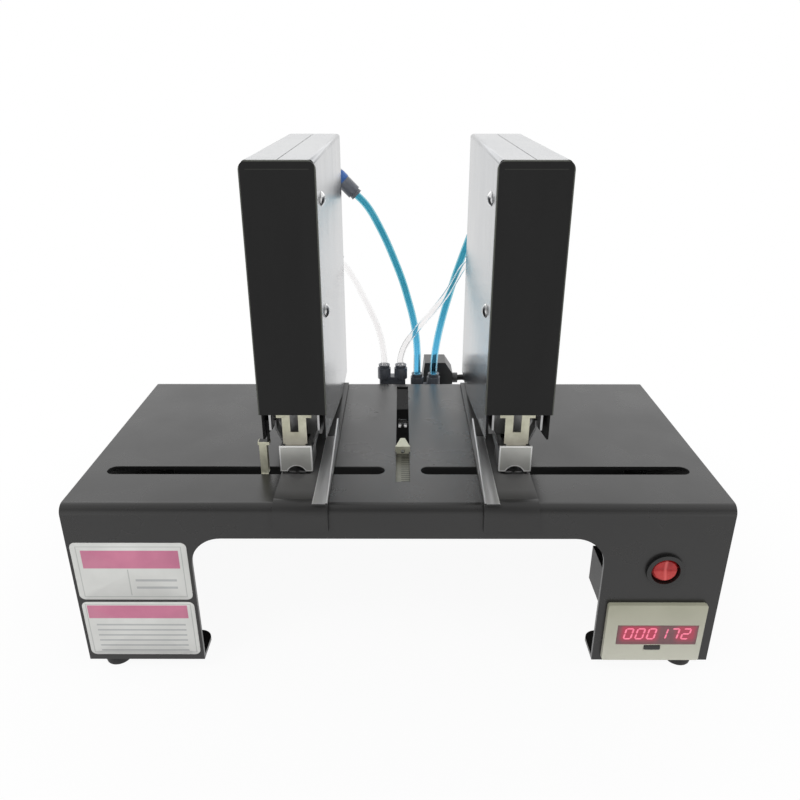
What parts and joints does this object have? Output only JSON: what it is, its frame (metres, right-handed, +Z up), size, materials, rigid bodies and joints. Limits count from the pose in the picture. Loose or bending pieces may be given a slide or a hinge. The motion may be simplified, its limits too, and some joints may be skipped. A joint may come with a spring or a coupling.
{
  "type": "pneumatic bench stapler",
  "caption": "Bench stapler with air-driven stapling heads that slide along a slotted steel table, a rocker switch, a counter, a paper stop, and a valve with air tubes behind.",
  "frame": {"origin": "on the floor, under the middle of the machine", "axes": "+X along the table to the right, +Y to the back, +Z up"},
  "size_m": [0.4, 0.256, 0.319],
  "materials": {
    "black_paint": "fine satin powder coat",
    "rubber": "matt",
    "black_plastic": "fine moulded grain",
    "red_plastic": "gloss, slightly see-through",
    "beige_plastic": "satin moulded",
    "red_window": "clear gloss",
    "zinc_plate": "yellow-grey zinc plate",
    "cover_steel": "polished stainless sheet",
    "bright_steel": "bright plated",
    "plain_steel": "machined",
    "aluminium": "anodised",
    "fitting_plastic": "moulded",
    "brass": "sintered",
    "blue_tube": "smooth, slightly see-through",
    "clear_tube": "clear, smooth"
  },
  "bodies": {
    "table": {"table_shell": "black_paint", "rubber_feet": "rubber", "switch_bezel": "black_plastic", "counter_housing": "beige_plastic", "counter_window": "red_window", "microswitch": "black_plastic", "valve_body": "aluminium", "solenoid_coil": "black_plastic", "coil_plug": "black_plastic", "plug_lead": "rubber", "y_fittings": "fitting_plastic", "air_inlet": "fitting_plastic", "silencers": "brass", "left_blue_tube": "blue_tube", "left_clear_tube": "clear_tube", "right_blue_tube": "blue_tube", "right_clear_tube": "clear_tube"},
    "left_head": {"left_guide_post": "zinc_plate", "left_base_plate": "black_paint", "left_guide_rail": "cover_steel", "left_anvil": "plain_steel", "left_outer_cover": "cover_steel", "left_inner_cover": "cover_steel", "left_front_plate": "black_paint", "left_frame": "plain_steel", "left_arm": "aluminium", "left_cylinder": "aluminium", "left_nose": "bright_steel", "left_magazine": "plain_steel", "left_pusher_spring": "plain_steel", "left_staples": "plain_steel", "left_cover_screws": "bright_steel", "left_air_elbows": "fitting_plastic"},
    "left_ram": {"left_piston": "bright_steel", "left_driver": "zinc_plate"},
    "left_feeder": {"left_pusher": "plain_steel"},
    "left_knob": {"left_clamp_knob": "black_plastic"},
    "right_head": {"right_base_plate": "black_paint", "right_guide_rail": "cover_steel", "right_anvil": "plain_steel", "right_outer_cover": "cover_steel", "right_inner_cover": "cover_steel", "right_front_plate": "black_paint", "right_frame": "plain_steel", "right_arm": "aluminium", "right_cylinder": "aluminium", "right_nose": "bright_steel", "right_magazine": "plain_steel", "right_pusher_spring": "plain_steel", "right_staples": "plain_steel", "right_cover_screws": "bright_steel", "right_air_elbows": "fitting_plastic"},
    "right_ram": {"right_piston": "bright_steel", "right_driver": "zinc_plate"},
    "right_feeder": {"right_pusher": "plain_steel"},
    "right_knob": {"right_clamp_knob": "black_plastic"},
    "rocker": {"switch_rocker": "red_plastic"},
    "reset": {"reset_button": "black_plastic"},
    "stop": {"depth_stop": "zinc_plate"},
    "trigger": {"trigger_lever": "bright_steel"}
  },
  "joints": [
    {"name": "left_head_slide", "type": "slide", "parent": "table", "child": "left_head", "axis": [1, 0, 0], "range_m": [-0.06, 0.018], "deforming": ["left_blue_tube", "left_clear_tube"]},
    {"name": "left_stroke", "type": "slide", "parent": "left_head", "child": "left_ram", "axis": [0, 0, -1], "range_m": [0, 0.011]},
    {"name": "left_feed", "type": "slide", "parent": "left_head", "child": "left_feeder", "axis": [0, 1, 0], "range_m": [0, 0.03], "stiffness_N_per_m": 60, "springref_m": -0.03, "deforming": ["left_pusher_spring"]},
    {"name": "left_clamp", "type": "hinge", "parent": "left_head", "child": "left_knob", "pos_m": [-0.0575, -0.08, 0.111], "axis": [0, 0, 1], "continuous": true},
    {"name": "right_head_slide", "type": "slide", "parent": "table", "child": "right_head", "axis": [1, 0, 0], "range_m": [-0.012, 0.06], "deforming": ["right_blue_tube", "right_clear_tube"]},
    {"name": "right_stroke", "type": "slide", "parent": "right_head", "child": "right_ram", "axis": [0, 0, -1], "range_m": [0, 0.011]},
    {"name": "right_feed", "type": "slide", "parent": "right_head", "child": "right_feeder", "axis": [0, 1, 0], "range_m": [0, 0.03], "stiffness_N_per_m": 60, "springref_m": -0.03, "deforming": ["right_pusher_spring"]},
    {"name": "right_clamp", "type": "hinge", "parent": "right_head", "child": "right_knob", "pos_m": [0.067, -0.08, 0.111], "axis": [0, 0, 1], "continuous": true},
    {"name": "rocker_tilt", "type": "hinge", "parent": "table", "child": "rocker", "pos_m": [0.163, -0.121, 0.0805], "axis": [1, 0, 0], "range_deg": [0, 20]},
    {"name": "reset_press", "type": "slide", "parent": "table", "child": "reset", "axis": [0, 1, 0], "range_m": [0, 0.0015], "stiffness_N_per_m": 300, "springref_m": -0.001},
    {"name": "stop_slide", "type": "slide", "parent": "table", "child": "stop", "axis": [0, 1, 0], "range_m": [0, 0.024]},
    {"name": "trigger_press", "type": "hinge", "parent": "table", "child": "trigger", "pos_m": [0.003, 0.0115, 0.116], "axis": [1, 0, 0], "range_deg": [0, 12], "stiffness_Nm_per_rad": 0.05, "springref_deg": -5.73}
  ],
  "couplings": [
    {"joint": "right_stroke", "follows": "left_stroke", "ratio": 1}
  ]
}
